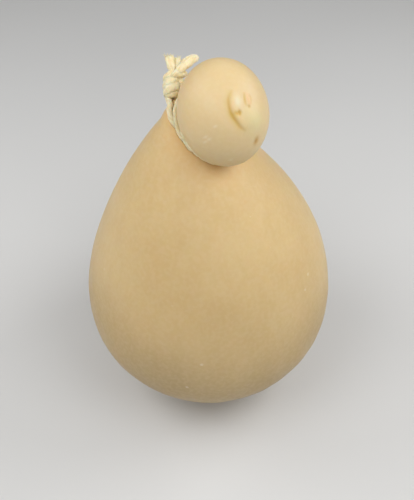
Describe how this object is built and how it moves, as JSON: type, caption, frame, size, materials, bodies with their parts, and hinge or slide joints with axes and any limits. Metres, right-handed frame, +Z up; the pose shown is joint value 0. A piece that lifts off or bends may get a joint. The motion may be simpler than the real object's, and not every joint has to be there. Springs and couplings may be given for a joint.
{
  "type": "ball of cheese",
  "caption": "Teardrop ball of stretched-curd cheese with a small tied-off head, a twine tie round the neck and a flat spot to stand on.",
  "frame": {"origin": "centre of the flat spot that the cheese stands on", "axes": "+Z up through the body, -Y the front that the head leans towards, +X to the right as seen from the front"},
  "size_m": [0.15, 0.15, 0.2372],
  "materials": {
    "cheese_rind": "smooth satin rind, slightly waxy",
    "twine": "matte natural fibre"
  },
  "bodies": {
    "root": {"cheese": "cheese_rind", "tie_twine": "twine"}
  },
  "joints": []
}
